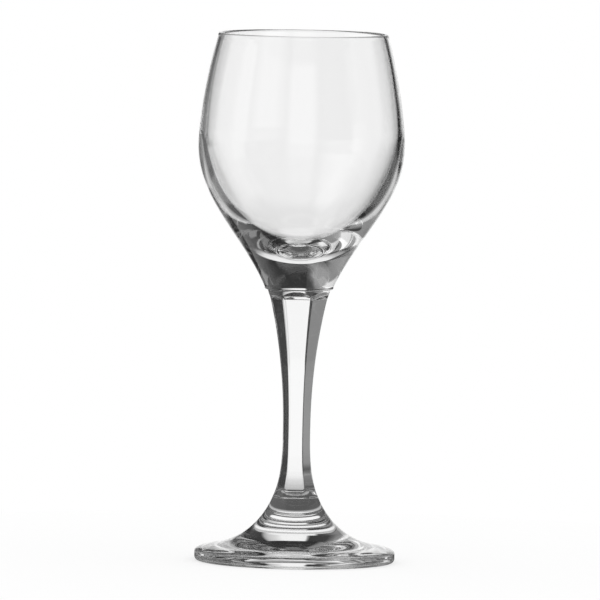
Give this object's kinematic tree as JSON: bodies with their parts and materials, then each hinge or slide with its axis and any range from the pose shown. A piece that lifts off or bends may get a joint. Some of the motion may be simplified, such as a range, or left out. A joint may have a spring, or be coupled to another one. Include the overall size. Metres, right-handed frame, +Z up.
{
  "type": "stemmed spirits glass",
  "caption": "Small stemmed glass for spirits: a tulip-shaped bowl with a heavy solid base, fused to a waisted six-sided stem on a round flared foot.",
  "frame": {"origin": "on the table, under the middle of the foot", "axes": "+Z up along the glass's axis, towards the rim; one flat facet of the stem faces nearly -Y"},
  "size_m": [0.052, 0.052, 0.133],
  "materials": {
    "blown_glass": "clear crystal glass, blown and fire-polished",
    "pressed_glass": "clear crystal glass, pressed and fire-polished"
  },
  "bodies": {
    "root": {"bowl": "blown_glass", "stem": "pressed_glass", "foot": "pressed_glass"}
  },
  "joints": []
}
